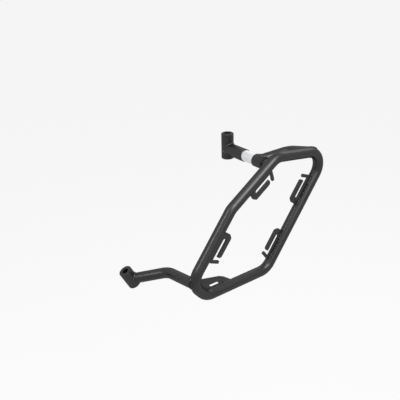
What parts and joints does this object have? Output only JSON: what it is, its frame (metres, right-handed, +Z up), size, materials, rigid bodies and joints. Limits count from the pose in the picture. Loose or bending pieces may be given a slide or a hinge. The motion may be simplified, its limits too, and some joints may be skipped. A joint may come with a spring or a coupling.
{
  "type": "pannier frame",
  "caption": "Left-hand motorbike pannier frame: a bent black steel tube ring with strap hooks, a lower arm with a bushing and a bolted upper mount.",
  "frame": {"origin": "middle of the upper mount tube's bore", "axes": "+X towards the bike's front, +Y outboard to the bike's left, +Z up along the upper mount tube's bore"},
  "size_m": [0.3484, 0.2087, 0.2232],
  "materials": {
    "powder_coat": "satin black powder coat",
    "zinc": "bright zinc plating"
  },
  "bodies": {
    "root": {"ring_tube": "powder_coat", "hook_front": "powder_coat", "hook_shoulder": "powder_coat", "hook_rear_upper": "powder_coat", "hook_rear_lower": "powder_coat", "nose_gusset": "powder_coat", "lower_arm": "powder_coat", "lower_bushing": "powder_coat", "upper_bracket": "powder_coat", "upper_boss": "powder_coat", "spacer_sleeve": "zinc", "cross_tube": "powder_coat", "mount_tube": "powder_coat", "clamp_bolt": "zinc", "flat_washer": "zinc", "spring_washer": "zinc"}
  },
  "joints": []
}
